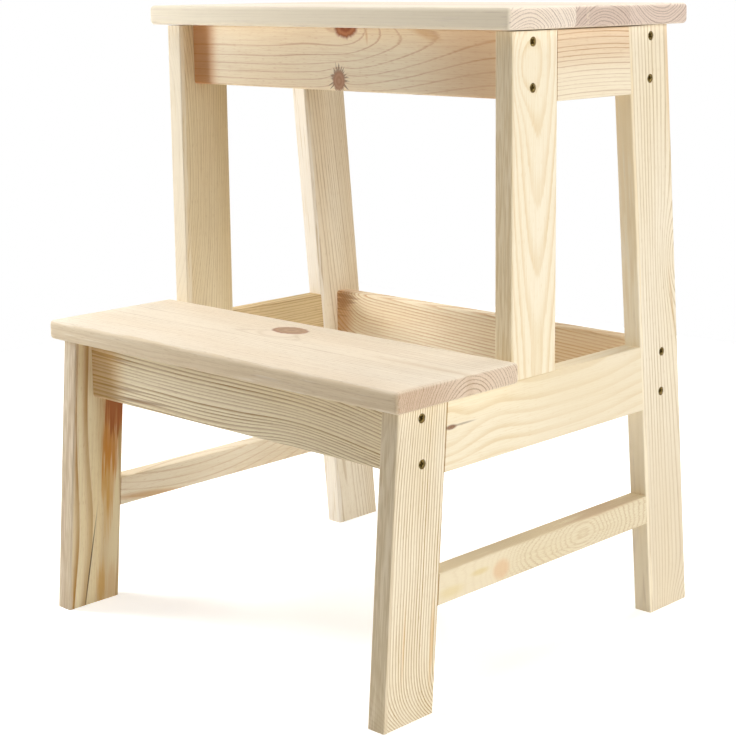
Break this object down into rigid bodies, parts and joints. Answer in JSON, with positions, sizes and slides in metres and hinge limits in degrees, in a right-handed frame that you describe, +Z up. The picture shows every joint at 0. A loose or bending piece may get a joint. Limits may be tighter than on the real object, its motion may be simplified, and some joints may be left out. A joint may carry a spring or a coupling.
{
  "type": "kitchen step stool",
  "caption": "Rigid two-step kitchen stool in pale pine: splayed side frames of flat slats, cross aprons held by countersunk screws, and round-edged step boards.",
  "frame": {"origin": "middle of the footprint on the floor", "axes": "+Z up, -Y towards the front with the lower step, +X to the right seen from the front"},
  "size_m": [0.398, 0.372, 0.5],
  "materials": {
    "pine": "planed and sanded pine, unvarnished, matt",
    "screw_steel": "yellow zinc plated steel",
    "dowel_beech": "turned beech, unfinished"
  },
  "bodies": {
    "root": {"top_step": "pine", "lower_step": "pine", "front_leg_left": "pine", "front_leg_right": "pine", "rear_leg_left": "pine", "rear_leg_right": "pine", "post_left": "pine", "post_right": "pine", "side_rail_left": "pine", "side_rail_right": "pine", "top_rail_left": "pine", "top_rail_right": "pine", "stretcher_left": "pine", "stretcher_right": "pine", "front_apron": "pine", "top_front_apron": "pine", "top_rear_apron": "pine", "mid_rear_apron": "pine", "front_apron_screws": "screw_steel", "top_front_apron_screws": "screw_steel", "top_rear_apron_screws": "screw_steel", "mid_rear_apron_screws": "screw_steel", "top_step_screws": "screw_steel", "lower_step_screws": "screw_steel", "side_rail_dowels": "dowel_beech", "top_rail_dowels": "dowel_beech", "stretcher_dowels": "dowel_beech", "post_dowels": "dowel_beech"}
  },
  "joints": []
}
